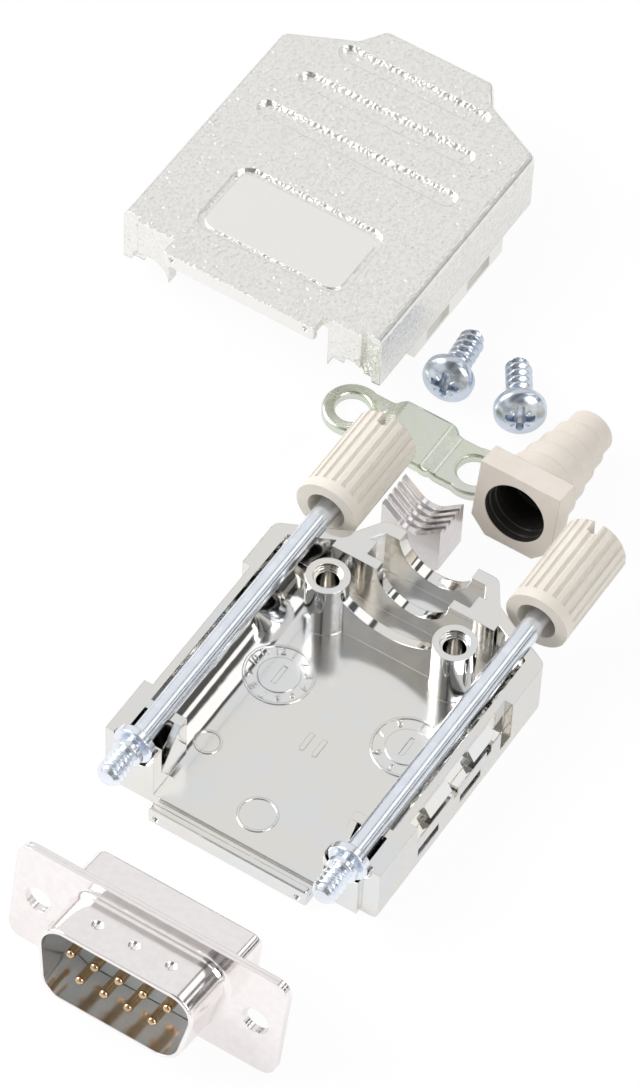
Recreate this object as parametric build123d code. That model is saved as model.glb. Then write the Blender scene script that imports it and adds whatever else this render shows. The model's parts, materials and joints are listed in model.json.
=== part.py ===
"""Die-cast hood kit for a nine-way D-sub connector, laid out on a bench, in millimetres.

X runs across the hood, Y from the mating face towards the cable and Z up from the bench.
The origin is under the middle of the lower shell's front face. The lower shell carries its two
thumbscrews; the other pieces of the kit rest on the bench around it, each as it comes to rest.
"""
from build123d import *
import math
import os

# Outline that the two half shells share, seen from above
SCREW_MARGIN = 3.505
SIDE_LENGTH = 31.3
OUTLET_TAPER = 1.9
SHOULDER_STEP = 3.6
OUTLET_WALL = 2.45
OUTLET_STEP = 2.9
END_WALL = 1.6
WALL = 1.4
SIDE_WALL = 1.85
FLOOR = 1.4
PLAN_CORNER = 1.1
RIM_ROUND = 0.9
TROUGH_ROUND = 5.2

# Front lip and the groove behind it that holds the connector's flange
LIP_MARGIN = 3.195
GROOVE_FLOOR = 1.025
LIP_THICK = 0.9
LIP_HEIGHT = 2.1
LIP_ROUND = 0.3
LIP_MARK_RADIUS = 0.4
LIP_MARK_DEPTH = 0.2
LIP_MARK_INSET = 1.0
FLANGE_FIT = 0.1
MOUTH_MARGIN = 2.595

# Snap rails of the upper shell and the ledges of the lower shell that take them
RAIL_START = 7.6
RAIL_END = 25.2
RAIL_DROP = 2.4
RAIL_THICK = 0.9
RAIL_FIT = 0.1
SNAP_PLACES = (12.3, 20.4)
SNAP_LENGTH = 4.0
SNAP_DEPTH = 0.8
SNAP_HEIGHT = 1.4
SNAP_FIT = 0.2
LEDGE_SLOT_LENGTH = 3.9
LEDGE_SLOT_HEIGHT = 1.2
LEDGE_SLOT_FLOOR = 2.0
LEDGE_SLOT_PLACES = (9.8, 17.6)
LEDGE_HOLE = 0.9
LEDGE_HOLE_PLACES = (14.8, 21.0)
LEDGE_NOTCH = 1.9
CORNER_STEP_START = 13.9
CORNER_STEP = 0.6

# Thumbscrews
SCREW_PITCH = 24.99
ROD_RADIUS = 1.2
BEARING_FIT = 0.05
ROD_THREAD_RADIUS = 1.42
ROD_THREAD_LENGTH = 3.4
NECK_RADIUS = 1.65
NECK_GROOVE_RADIUS = 1.05
NECK_LENGTH = 1.2
NECK_GROOVE = 0.35
COLLAR_RADIUS = 2.25
COLLAR_LENGTH = 1.0
COLLAR_SEAT = 1.15
COLLAR_SLACK = 0.3
THREAD_CHAMFER = 0.35
KNOB_RADIUS = 3.55
KNOB_LENGTH = 12.0
KNOB_STANDOFF = 0.5
KNOB_RING = 1.3
KNOB_RIBS = 20
KNOB_RIB_DEPTH = 0.24
KNOB_BORE_RADIUS = 2.2
KNOB_BORE_DEPTH = 2.6
KNOB_ROD_GRIP = 7.0
KNOB_END_CHAMFER = 0.45
DRIVER_SLOT_WIDTH = 1.1
DRIVER_SLOT_DEPTH = 1.7

# Posts, ribs and marks inside the lower shell
POST_PITCH = 15.0
POST_SETBACK = 3.4
POST_RADIUS = 2.3
POST_PROUD = 1.0
POST_CORE_RADIUS = 1.2
POST_MOUTH_RADIUS = 1.55
POST_MOUTH_DEPTH = 0.8
RIB_THICK = 1.1
TROUGH_RIB_PLACE = 4.8
GUSSET_FRONT = 1.8
GUSSET_THICK = 0.8
CRADLE_DIP = 4.3
CRADLE_RISE = 3.0
CHEEK_INSET = 1.85
CHEEK_REACH = 1.0
MARK_PROUD = 0.12
DIAL_PLACES = ((-7.5, 19.2), (7.9, 18.8))
DIAL_RADIUS = 3.7
DIAL_HUB_RADIUS = 2.2
DIAL_BAR = (0.5, 2.4)
EJECTOR_MARKS = ((0.0, 3.7, 2.1), (-8.9, 8.3, 1.45))
MARK_LINE = 0.22
TALLY_PLACE = (0.0, 13.8)
TALLY_BAR = (0.55, 2.3)
TALLY_PITCH = 1.5

# Decoration sunk into the top of the upper shell
LABEL_SIZE = (18.4, 10.0)
LABEL_PLACE = 8.0
LABEL_CORNER = 2.0
LABEL_DEPTH = 0.35
LABEL_EDGE = 0.75
LABEL_PANEL_PROUD = 0.15
GRIP_WIDTH = 2.2
GRIP_DEPTH = 0.45
GRIPS = ((20.9, 24.8), (26.8, 21.8), (32.4, 18.8))

# Clamp plate
PLATE_THICK = 1.0
PLATE_LOBE_RADIUS = 3.25
PLATE_HOLE_RADIUS = 1.85
PLATE_MIDDLE = (8.0, 7.0)
PLATE_BLEND = 1.2
PLATE_NECK = 0.2
PLATE_HUMP_RISE = 0.87
PLATE_HUMP_TOP = 5.4
PLATE_HUMP_FOOT = 8.6
PLATE_BEND_ROUND = 0.8
PLATE_EDGE_ROUND = 0.4

# Clamp screws
CLAMP_SCREW_RADIUS = 1.45
CLAMP_SCREW_CORE = 1.05
CLAMP_SCREW_LENGTH = 7.9
CLAMP_SCREW_PITCH = 1.1
CLAMP_TIP_LENGTH = 1.3
CLAMP_TIP_RADIUS = 0.55
HEAD_RADIUS = 2.8
HEAD_HEIGHT = 2.0
HEAD_RIM = 0.75
RECESS_WIDTH = 0.8
RECESS_SPAN = 3.0
RECESS_DEPTH = 1.3

# Clamp insert
INSERT_SIZE = (7.0, 4.5, 7.0)
INSERT_FOOT = 0.8
INSERT_SADDLE_SLOPE = 42.0
INSERT_SADDLE_ROUND = 2.2
INSERT_GROOVES = 4
INSERT_GROOVE_PITCH = 0.9
INSERT_GROOVE_WIDTH = 0.42
INSERT_GROOVE_DEPTH = 0.6

# Cable bushing
BUSH_FLANGE = 9.4
BUSH_FLANGE_THICK = 2.9
BUSH_FLANGE_CHAMFER = 1.9
BUSH_FIT = 0.1
BUSH_STEPS = 5
BUSH_STEP_LENGTH = 2.56
BUSH_ROOT_RADIUS = 4.15
BUSH_TIP_RADIUS = 2.55
BUSH_WALL = 0.85
BUSH_MOUTH_RADIUS = 3.5
BUSH_MOUTH_STEPS = 3
BUSH_RIDGE = 0.25

# Connector
FLANGE_WIDTH = 30.81
FLANGE_HEIGHT = 12.55
FLANGE_CORNER = 1.6
SHEET = 0.45
MOUNT_HOLE_RADIUS = 1.525
D_WIDTH = 16.92
D_HEIGHT = 8.36
D_CORNER = 2.3
D_SLANT = 10.0
D_REACH = 5.9
D_FOOT_ROUND = 0.7
DIMPLE_PITCH = 4.2
DIMPLE_RADIUS = 0.75
DIMPLE_DEPTH = 0.3
REAR_WIDTH = 19.2
REAR_HEIGHT = 10.7
REAR_REACH = 4.3
REAR_CORNER = 1.3
INSULATOR_FACE = 0.6
INSULATOR_FIT = 0.1
INSULATOR_BACK = 0.4
PIN_RADIUS = 0.51
PIN_REACH = 5.4
PIN_PITCH = 2.77
PIN_ROW_GAP = 2.84
PIN_SHANK_RADIUS = 0.75
CUP_RADIUS = 0.95
CUP_BORE = 0.65
CUP_LENGTH = 1.6
CUP_SHOULDER = 0.3
UPPER_PINS = 5
LOWER_PINS = 4

# Places on the bench: across, and behind the knobs or the cable outlet or in front of the lips
UPPER_SHELL_GAP = 2.7
UPPER_SHELL_BEHIND = 7.7
PLATE_ACROSS = -12.6
PLATE_BEHIND = 5.4
INSERT_ACROSS = -5.0
INSERT_BEHIND = 4.2
BUSH_ACROSS = 2.75
BUSH_BEHIND = 8.7
CONNECTOR_ACROSS = 2.05
CONNECTOR_AHEAD = 18.4
CLAMP_SCREWS_ACROSS = (-13.2, -4.9)
CLAMP_SCREWS_BEHIND = (13.4, 13.8)
CLAMP_SCREW_TURNS = (10.0, 32.0)

half_pitch = SCREW_PITCH / 2
half_width = half_pitch + SCREW_MARGIN
hood_width = 2 * half_width
half_height = GROOVE_FLOOR + FLANGE_FIT + FLANGE_HEIGHT / 2
lip_half = half_pitch - LIP_MARGIN
mouth_half = half_pitch - MOUTH_MARGIN
inner_half = half_width - SIDE_WALL
shoulder_reach = SIDE_LENGTH + SHOULDER_STEP
hood_length = shoulder_reach + OUTLET_STEP
post_place = SIDE_LENGTH - POST_SETBACK
knob_start = shoulder_reach + KNOB_STANDOFF
knob_end = knob_start + KNOB_LENGTH
bearing_radius = ROD_RADIUS + BEARING_FIT
flange_thick = 2 * SHEET
lip_back = -flange_thick - 2 * FLANGE_FIT
lip_front = lip_back - LIP_THICK
outlet_radius = BUSH_ROOT_RADIUS + BUSH_FIT
outlet_half = outlet_radius + OUTLET_WALL
shoulder_half = outlet_half + OUTLET_TAPER
cheek_outer = shoulder_half + CHEEK_REACH
outlet_dip = half_height - outlet_radius
slot_back = hood_length - END_WALL
slot_rib_place = slot_back - BUSH_FLANGE_THICK - 2 * BUSH_FIT - RIB_THICK


def box_between(low, high):
    """Box from its low corner to its high corner."""
    size = [b - a for a, b in zip(low, high)]
    return Pos(*low) * Box(*size, align=(Align.MIN, Align.MIN, Align.MIN))


def rod_along_y(x, start, end, z, radius):
    """Cylinder along Y between two places."""
    length = end - start
    return Pos(x, start, z) * Rot(-90, 0, 0) * Cylinder(
        radius, length, align=(Align.CENTER, Align.CENTER, Align.MIN)
    )


def open_slot(x, start, end, z, radius, top):
    """Round-bottomed slot along Y that stays open upwards."""
    above = box_between((x - radius, start, z), (x + radius, end, top))
    return rod_along_y(x, start, end, z, radius) + above


def both_sides(shape):
    """A shape and its mirror image across the middle plane."""
    return [shape, mirror(shape, about=Plane.YZ)]


def hood_plan():
    """Outline of a half shell: straight sides, sloping shoulders and a tapered cable outlet."""
    right = [
        (half_width, 0),
        (half_width, SIDE_LENGTH),
        (shoulder_half, shoulder_reach),
        (outlet_half, hood_length),
    ]
    left = [(-x, y) for x, y in reversed(right)]
    return make_face(Polyline(*right, *left, close=True))


def cavity_plan():
    """Inside of the outline, with thicker walls along the sides."""
    inside = offset(hood_plan(), amount=-WALL, kind=Kind.INTERSECTION)
    return inside & Pos(0, hood_length / 2) * Rectangle(2 * inner_half, hood_length)


def shell_blank():
    """Solid half shell with its outer edges rounded, standing on its closed face."""
    blank = extrude(hood_plan(), amount=half_height)
    upright = blank.edges().filter_by(Axis.Z)
    corners = upright.filter_by_position(Axis.Y, SIDE_LENGTH - WALL, hood_length + WALL)
    blank = fillet(corners, radius=PLAN_CORNER)
    rim = blank.edges().group_by(Axis.Z)[0].filter_by_position(Axis.Y, WALL, hood_length + WALL)
    blank = fillet(rim, radius=RIM_ROUND)
    step = box_between((CORNER_STEP_START, -WALL, -WALL), (hood_width, CORNER_STEP, 2 * half_height))
    return blank - both_sides(step)


def shell_cavity():
    """What is hollowed out of a half shell, with a rounded trough along each side."""
    cavity = Pos(0, 0, FLOOR) * extrude(cavity_plan(), amount=half_height)
    troughs = [
        edge
        for edge in cavity.edges().filter_by(Axis.Y).group_by(Axis.Z)[0]
        if abs(edge.center().X) > shoulder_half
    ]
    cavity = fillet(troughs, radius=TROUGH_ROUND)
    mouth = box_between((-mouth_half, -WALL, FLOOR), (mouth_half, 2 * WALL, 2 * half_height))
    return cavity + mouth


def front_lip():
    """Lip in front of the flange, joined to the floor under the flange's groove."""
    lip = box_between((-lip_half, lip_front, 0), (lip_half, lip_back, LIP_HEIGHT))
    lip = fillet(lip.edges().filter_by(Axis.X).group_by(Axis.Z)[-1], radius=LIP_ROUND)
    lip = fillet(lip.edges().filter_by(Axis.Z).group_by(Axis.Y)[0], radius=LIP_ROUND)
    for x in (LIP_MARK_INSET - lip_half, lip_half - LIP_MARK_INSET):
        start = lip_front - LIP_MARK_DEPTH
        lip -= rod_along_y(x, start, lip_front + LIP_MARK_DEPTH, LIP_HEIGHT / 3, LIP_MARK_RADIUS)
    web = box_between((-lip_half, lip_back - LIP_THICK / 2, 0), (lip_half, WALL, GROOVE_FLOOR))
    return lip + web


def screw_slots():
    """Bearings and collar pockets for both thumbscrews, open at the parting plane."""
    top = 2 * half_height
    pocket_radius = COLLAR_RADIUS + COLLAR_SLACK
    cuts = []
    for x in (-half_pitch, half_pitch):
        cuts.append(open_slot(x, -WALL, hood_length, half_height, bearing_radius, top))
        cuts.append(open_slot(x, -WALL, COLLAR_SEAT, half_height, pocket_radius, top))
    return cuts


def cable_cradle(place, dip, radius, half):
    """Cross rib with a round dip for the cable."""
    rib = box_between((-half, place, FLOOR / 2), (half, place + RIB_THICK, half_height))
    centre = dip + radius
    return rib - rod_along_y(0, place - RIB_THICK, place + 2 * RIB_THICK, centre, radius)


def trough_ribs():
    """Cross ribs that carry the rods between the side walls and the gussets."""
    low = (mouth_half, TROUGH_RIB_PLACE, FLOOR / 2)
    high = (inner_half + WALL / 4, TROUGH_RIB_PLACE + RIB_THICK, half_height)
    return both_sides(box_between(low, high))


def front_gussets():
    """Walls beside the mouth that fall from the ribs' tops to the front wall."""
    start = COLLAR_SEAT
    end = TROUGH_RIB_PLACE + RIB_THICK
    profile = Polyline(
        (start, FLOOR / 2),
        (end, FLOOR / 2),
        (end, half_height),
        (TROUGH_RIB_PLACE, half_height),
        (start, FLOOR + GUSSET_FRONT),
        close=True,
    )
    face = Plane.YZ * make_face(profile)
    return both_sides(Pos(mouth_half, 0, 0) * extrude(face, amount=GUSSET_THICK))


def posts():
    """Two round posts for the clamp screws."""
    height = half_height + POST_PROUD - FLOOR / 2
    solid = []
    for x in (-POST_PITCH / 2, POST_PITCH / 2):
        solid.append(
            Pos(x, post_place, FLOOR / 2)
            * Cylinder(POST_RADIUS, height, align=(Align.CENTER, Align.CENTER, Align.MIN))
        )
    return solid


def post_bores():
    """Core holes of the posts with their wider mouths."""
    top = half_height + POST_PROUD
    align = (Align.CENTER, Align.CENTER, Align.MIN)
    cuts = []
    for x in (-POST_PITCH / 2, POST_PITCH / 2):
        cuts.append(Pos(x, post_place, FLOOR) * Cylinder(POST_CORE_RADIUS, top, align=align))
        mouth = Cylinder(POST_MOUTH_RADIUS, top, align=align)
        cuts.append(Pos(x, post_place, top - POST_MOUTH_DEPTH) * mouth)
    return cuts


def floor_marks():
    """Raised rings, bars and strokes that follow the floor and the rounded troughs."""
    sketch = []
    for x, y in DIAL_PLACES:
        ring = Circle(DIAL_RADIUS) - Circle(DIAL_RADIUS - MARK_LINE)
        sketch.append(Pos(x, y) * (ring + Circle(DIAL_HUB_RADIUS) - Rectangle(*DIAL_BAR)))
    for x, y, radius in EJECTOR_MARKS:
        sketch.append(Pos(x, y) * (Circle(radius) - Circle(radius - MARK_LINE)))
    for shift in (-TALLY_PITCH / 2, TALLY_PITCH / 2):
        sketch.append(Pos(TALLY_PLACE[0] + shift, TALLY_PLACE[1]) * Rectangle(*TALLY_BAR))
    lifted = Pos(0, 0, MARK_PROUD) * shell_cavity()
    return [Pos(0, 0, FLOOR / 2) * extrude(face, amount=half_height / 2) - lifted for face in sketch]


def snap_ledges():
    """Cuts for the rails along both sides, with slots and an end notch in the ledge."""
    base = half_height - RAIL_DROP - RAIL_FIT
    inner = half_width - RAIL_THICK - RAIL_FIT
    outer = half_width + WALL
    cuts = both_sides(
        box_between(
            (inner, RAIL_START - RAIL_FIT, base),
            (outer, RAIL_END + RAIL_FIT, 2 * half_height),
        )
    )
    for y in LEDGE_SLOT_PLACES:
        low = (inner, y - LEDGE_SLOT_LENGTH / 2, LEDGE_SLOT_FLOOR)
        high = (outer, y + LEDGE_SLOT_LENGTH / 2, LEDGE_SLOT_FLOOR + LEDGE_SLOT_HEIGHT)
        cuts += both_sides(box_between(low, high))
    for y in LEDGE_HOLE_PLACES:
        low = (inner, y - LEDGE_HOLE / 2, base - LEDGE_HOLE)
        high = (outer, y + LEDGE_HOLE / 2, 2 * half_height)
        cuts += both_sides(box_between(low, high))
    low = (inner, RAIL_END - LEDGE_NOTCH, LEDGE_SLOT_FLOOR)
    return cuts + both_sides(box_between(low, (outer, RAIL_END + RAIL_FIT, 2 * half_height)))


def snap_nubs():
    """Wedges on the thin walls that click into the windows of the rails."""
    inner = half_width - RAIL_THICK - RAIL_FIT
    base = half_height - RAIL_DROP / 2 - SNAP_HEIGHT / 2
    nubs = []
    for y in SNAP_PLACES:
        profile = Polyline(
            (inner - WALL / 4, base),
            (inner + SNAP_DEPTH, base),
            (inner, base + SNAP_HEIGHT),
            (inner - WALL / 4, base + SNAP_HEIGHT),
            close=True,
        )
        wedge = extrude(Plane.XZ * make_face(profile), amount=SNAP_LENGTH, both=False)
        nubs += both_sides(Pos(0, y + SNAP_LENGTH / 2, 0) * wedge)
    return nubs


def outlet_cheeks():
    """Blocks on both sides of the outlet that close the shoulders behind the posts."""
    low = (outlet_radius + CHEEK_INSET, slot_rib_place, FLOOR / 2)
    block = box_between(low, (cheek_outer, shoulder_reach, half_height))
    plan = extrude(hood_plan(), amount=half_height)
    return [piece & plan for piece in both_sides(block)]


def lower_shell():
    """Half shell that holds the thumbscrews, the posts and the cable cradle."""
    post_rib_half = POST_PITCH / 2 - POST_RADIUS / 2
    cradle_radius = (post_rib_half**2 + CRADLE_RISE**2) / (2 * CRADLE_RISE)
    shell = shell_blank() - shell_cavity()
    shell += posts()
    shell += trough_ribs() + front_gussets() + outlet_cheeks()
    shell += cable_cradle(post_place - RIB_THICK / 2, CRADLE_DIP, cradle_radius, post_rib_half)
    shell += cable_cradle(slot_rib_place, outlet_dip, outlet_radius, cheek_outer)
    shell += floor_marks()
    shell -= screw_slots()
    shell -= post_bores()
    shell -= open_slot(0, slot_back, hood_length + WALL, half_height, outlet_radius, 2 * half_height)
    shell -= snap_ledges()
    shell += snap_nubs()
    shell += front_lip()
    return shell


def rounded_bar(length, width, height):
    """Bar along X with round ends."""
    return extrude(SlotOverall(length, width), amount=height)


def rails():
    """Rails with windows that hang below the parting plane of the upper shell."""
    outer = half_width
    inner = outer - RAIL_THICK
    solid = []
    for side in both_sides(
        box_between((inner, RAIL_START, -RAIL_DROP), (outer, RAIL_END, WALL))
    ):
        solid.append(side)
    window_height = SNAP_HEIGHT + SNAP_FIT
    for y in SNAP_PLACES:
        half = SNAP_LENGTH / 2 + SNAP_FIT
        low = (inner - WALL, y - half, -RAIL_DROP / 2 - window_height / 2)
        high = (outer + WALL, y + half, -RAIL_DROP / 2 + window_height / 2)
        windows = both_sides(box_between(low, high))
        solid = [rail - windows for rail in solid]
    return solid


def upper_shell_at_origin():
    """Cover half shell, closed face up, with its parting plane at Z zero."""
    shell = shell_blank() - shell_cavity()
    shell -= screw_slots()
    rib = cable_cradle(slot_rib_place, outlet_dip, outlet_radius, shoulder_half)
    shell += rib & extrude(hood_plan(), amount=half_height)
    shell -= open_slot(0, slot_back, hood_length + WALL, half_height, outlet_radius, 2 * half_height)
    shell += front_lip()
    for place in ((-POST_PITCH / 2, post_place), (POST_PITCH / 2, post_place)):
        relief = extrude(Circle(HEAD_RADIUS + RAIL_FIT), amount=half_height)
        shell -= Pos(*place, FLOOR) * relief
    turned = Pos(0, 0, half_height) * Rot(0, 180, 0) * shell
    turned = turned + rails()
    top = half_height
    for y, length in GRIPS:
        turned -= Pos(0, y, top - GRIP_DEPTH) * rounded_bar(length, GRIP_WIDTH, half_height)
    label = RectangleRounded(*LABEL_SIZE, LABEL_CORNER)
    turned -= Pos(0, LABEL_PLACE, top - LABEL_DEPTH) * extrude(label, amount=half_height)
    panel_size = [side - 2 * LABEL_EDGE for side in LABEL_SIZE]
    panel = RectangleRounded(*panel_size, LABEL_CORNER - LABEL_EDGE)
    panel = extrude(panel, amount=LABEL_PANEL_PROUD + LABEL_DEPTH)
    return turned + Pos(0, LABEL_PLACE, top - 2 * LABEL_DEPTH) * panel


def upper_shell():
    """Cover half shell standing on its two rails."""
    place = (-hood_width - UPPER_SHELL_GAP, knob_end + UPPER_SHELL_BEHIND, RAIL_DROP)
    return Pos(*place) * upper_shell_at_origin()


def thumbscrew_rod(x):
    """Turned steel rod with its collar, its neck and the end that is threaded."""
    collar_front = COLLAR_SEAT - COLLAR_LENGTH - 2 * BEARING_FIT
    neck_front = collar_front - NECK_LENGTH
    tip = neck_front - ROD_THREAD_LENGTH
    back = knob_start + KNOB_BORE_DEPTH + KNOB_ROD_GRIP
    points = [
        (0, tip),
        (ROD_THREAD_RADIUS - THREAD_CHAMFER, tip),
        (ROD_THREAD_RADIUS, tip + THREAD_CHAMFER),
        (ROD_THREAD_RADIUS, neck_front - NECK_GROOVE),
        (NECK_GROOVE_RADIUS, neck_front - NECK_GROOVE),
        (NECK_GROOVE_RADIUS, neck_front),
        (NECK_RADIUS, neck_front),
        (NECK_RADIUS, collar_front - NECK_GROOVE),
        (NECK_GROOVE_RADIUS, collar_front - NECK_GROOVE),
        (NECK_GROOVE_RADIUS, collar_front),
        (COLLAR_RADIUS, collar_front),
        (COLLAR_RADIUS, collar_front + COLLAR_LENGTH),
        (ROD_RADIUS, collar_front + COLLAR_LENGTH),
        (ROD_RADIUS, back),
        (0, back),
    ]
    profile = make_face(Polyline(*points, close=True))
    return Pos(x, 0, half_height) * revolve(profile, axis=Axis.Y)


def thumbscrew_knob(x):
    """Ribbed plastic knob, bored for the rod and slotted for a screwdriver."""
    body = Cylinder(KNOB_RADIUS, KNOB_LENGTH, align=(Align.CENTER, Align.CENTER, Align.MIN))
    body = chamfer(body.edges().group_by(Axis.Z)[-1], length=KNOB_END_CHAMFER)
    groove_radius = math.pi * KNOB_RADIUS / KNOB_RIBS / 2
    groove_centre = KNOB_RADIUS + groove_radius - KNOB_RIB_DEPTH
    groove = Cylinder(groove_radius, KNOB_LENGTH, align=(Align.CENTER, Align.CENTER, Align.MIN))
    body -= [
        Rot(0, 0, 360 * index / KNOB_RIBS) * Pos(groove_centre, 0, KNOB_RING) * groove
        for index in range(KNOB_RIBS)
    ]
    body -= Cylinder(KNOB_BORE_RADIUS, KNOB_BORE_DEPTH, align=(Align.CENTER, Align.CENTER, Align.MIN))
    grip = Cylinder(ROD_RADIUS, KNOB_ROD_GRIP, align=(Align.CENTER, Align.CENTER, Align.MIN))
    body -= Pos(0, 0, KNOB_BORE_DEPTH) * grip
    slot = Box(DRIVER_SLOT_WIDTH, 3 * KNOB_RADIUS, 2 * DRIVER_SLOT_DEPTH)
    body -= Pos(0, 0, KNOB_LENGTH) * slot
    return Pos(x, knob_start, half_height) * Rot(-90, 0, 0) * body


def hump_line(rise):
    """Upper or lower line of the clamp plate, seen from the side."""
    end = POST_PITCH / 2 + PLATE_LOBE_RADIUS
    foot = PLATE_HUMP_FOOT / 2
    top = PLATE_HUMP_TOP / 2
    high = rise + PLATE_HUMP_RISE
    return [(-end, rise), (-foot, rise), (-top, high), (top, high), (foot, rise), (end, rise)]


def clamp_plate():
    """Pressed plate with two round lobes and a raised middle, lying on its lobes."""
    lobes = [Pos(x, 0) * Circle(PLATE_LOBE_RADIUS) for x in (-POST_PITCH / 2, POST_PITCH / 2)]
    bridge = Rectangle(POST_PITCH, 2 * (PLATE_LOBE_RADIUS - PLATE_NECK))
    outline = RectangleRounded(*PLATE_MIDDLE, PLATE_BLEND) + lobes + bridge
    for x in (-POST_PITCH / 2, POST_PITCH / 2):
        outline -= Pos(x, 0) * Circle(PLATE_HOLE_RADIUS)
    side = Polyline(*hump_line(0), *reversed(hump_line(PLATE_THICK)), close=True)
    strip = extrude(Plane.XZ * make_face(side), amount=PLATE_MIDDLE[1], both=True)
    bends = strip.edges().filter_by(Axis.Y).filter_by(lambda edge: abs(edge.center().X) < PLATE_HUMP_FOOT)
    strip = fillet(bends, radius=PLATE_BEND_ROUND)
    plate = strip & extrude(outline, amount=PLATE_THICK + 2 * PLATE_HUMP_RISE)
    upper = plate.faces().filter_by(lambda face: face.normal_at(face.center()).Z > 0.5)
    sides = plate.faces().filter_by(lambda face: abs(face.normal_at(face.center()).Z) < 0.1)
    rim = [edge for edge in upper.edges() if edge in sides.edges()]
    return Pos(PLATE_ACROSS, knob_end + PLATE_BEHIND, 0) * fillet(rim, radius=PLATE_EDGE_ROUND)


def clamp_screw(x, y, turn):
    """Pan-head tapping screw lying on its head's rim and its last thread."""
    radius = CLAMP_SCREW_RADIUS
    core = CLAMP_SCREW_CORE
    threads = int((CLAMP_SCREW_LENGTH - CLAMP_TIP_LENGTH) / CLAMP_SCREW_PITCH)
    last = -CLAMP_SCREW_LENGTH + CLAMP_TIP_LENGTH
    side = [(0, -CLAMP_SCREW_LENGTH), (CLAMP_TIP_RADIUS, -CLAMP_SCREW_LENGTH), (core, last)]
    for index in range(threads):
        foot = last + index * CLAMP_SCREW_PITCH
        side.append((core, foot + CLAMP_SCREW_PITCH / 4))
        side.append((radius, foot + CLAMP_SCREW_PITCH / 2))
        side.append((core, foot + 3 * CLAMP_SCREW_PITCH / 4))
    side.append((core, 0))
    shank = revolve(Plane.XZ * make_face(Polyline(*side, (0, 0), close=True)), axis=Axis.Z)
    outline = Polyline((0, 0), (HEAD_RADIUS, 0), (HEAD_RADIUS, HEAD_RIM))
    brow = HEAD_RIM + (HEAD_HEIGHT - HEAD_RIM) * math.sin(math.pi / 3)
    dome = ThreePointArc(
        (HEAD_RADIUS, HEAD_RIM),
        (HEAD_RADIUS * math.cos(math.pi / 4), brow),
        (0, HEAD_HEIGHT),
    )
    head = revolve(Plane.XZ * make_face(outline + dome + Line((0, HEAD_HEIGHT), (0, 0))), axis=Axis.Z)
    for angle in (0, 90):
        cross = Box(RECESS_SPAN, RECESS_WIDTH, 2 * RECESS_DEPTH)
        head -= Pos(0, 0, HEAD_HEIGHT) * Rot(0, 0, angle) * cross
    screw = shank + head
    last_crest = last + CLAMP_SCREW_PITCH / 2
    lean = math.degrees(math.atan((HEAD_RADIUS - radius) / -last_crest))
    drop = HEAD_RADIUS * math.cos(math.radians(lean))
    lying = Rot(0, 0, turn) * Pos(0, 0, drop) * Rot(90 - lean, 0, 0) * screw
    return Pos(x, y, 0) * lying


def saddle_cut(depth, start, end):
    """Notch along Y with sloping sides and a round bottom, sunk to a depth below the saddle's."""
    width, _, height = INSERT_SIZE
    half = width / 2
    ears = height - depth
    bottom = ears - half * math.tan(math.radians(INSERT_SADDLE_SLOPE))
    top = 2 * height
    outline = Polyline((-half, top), (-half, ears), (0, bottom), (half, ears), (half, top), close=True)
    face = make_face(outline)
    face = fillet(face.vertices().sort_by(Axis.Y)[0], radius=INSERT_SADDLE_ROUND)
    return along_axis(face, start, end)


def clamp_insert():
    """Block with a grooved saddle that presses on the cable, standing on its foot."""
    width, depth, height = INSERT_SIZE
    block = Box(width, depth, height, align=(Align.CENTER, Align.CENTER, Align.MIN))
    block = chamfer(block.edges().group_by(Axis.Z)[0].filter_by(Axis.Y), length=INSERT_FOOT)
    block -= saddle_cut(0, -depth, depth)
    first = -INSERT_GROOVE_PITCH * (INSERT_GROOVES - 1) / 2
    for index in range(INSERT_GROOVES):
        start = first + index * INSERT_GROOVE_PITCH - INSERT_GROOVE_WIDTH / 2
        block -= saddle_cut(INSERT_GROOVE_DEPTH, start, start + INSERT_GROOVE_WIDTH)
    return Pos(INSERT_ACROSS, hood_length + INSERT_BEHIND, 0) * block


def bush_step_radius(index):
    """Outer radius of a step of the bushing's nose."""
    share = index / (BUSH_STEPS - 1)
    return BUSH_ROOT_RADIUS + (BUSH_TIP_RADIUS - BUSH_ROOT_RADIUS) * share


def cable_bushing():
    """Stepped bushing lying on its flange, cut off at the lower corners, and its nose's end."""
    flange = extrude(Rectangle(BUSH_FLANGE, BUSH_FLANGE), amount=BUSH_FLANGE_THICK)
    lower_corners = flange.edges().filter_by(Axis.Z).group_by(Axis.Y)[-1]
    flange = chamfer(lower_corners, length=BUSH_FLANGE_CHAMFER)
    align = (Align.CENTER, Align.CENTER, Align.MIN)
    body = flange
    bores = []
    for index in range(BUSH_STEPS):
        start = BUSH_FLANGE_THICK + index * BUSH_STEP_LENGTH
        radius = bush_step_radius(index)
        body += Pos(0, 0, start) * Cylinder(radius, BUSH_STEP_LENGTH, align=align)
        bores.append(Pos(0, 0, start) * Cylinder(radius - BUSH_WALL, BUSH_STEP_LENGTH, align=align))
    mouth_step = BUSH_FLANGE_THICK / BUSH_MOUTH_STEPS
    for index in range(BUSH_MOUTH_STEPS):
        radius = BUSH_MOUTH_RADIUS - index * BUSH_RIDGE / 2
        bores.append(Pos(0, 0, index * mouth_step) * Cylinder(radius, mouth_step, align=align))
    body -= bores
    run = BUSH_STEPS * BUSH_STEP_LENGTH
    drop = BUSH_FLANGE / 2 - BUSH_TIP_RADIUS
    lean = math.degrees(math.atan(drop / run))
    standing = Pos(0, 0, BUSH_FLANGE / 2) * Rot(-90, 0, 0) * body
    pivot = Pos(0, BUSH_FLANGE_THICK, 0)
    place = Pos(BUSH_ACROSS, hood_length + BUSH_BEHIND, 0)
    return place * pivot * Rot(-lean, 0, 0) * pivot.inverse() * standing


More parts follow.
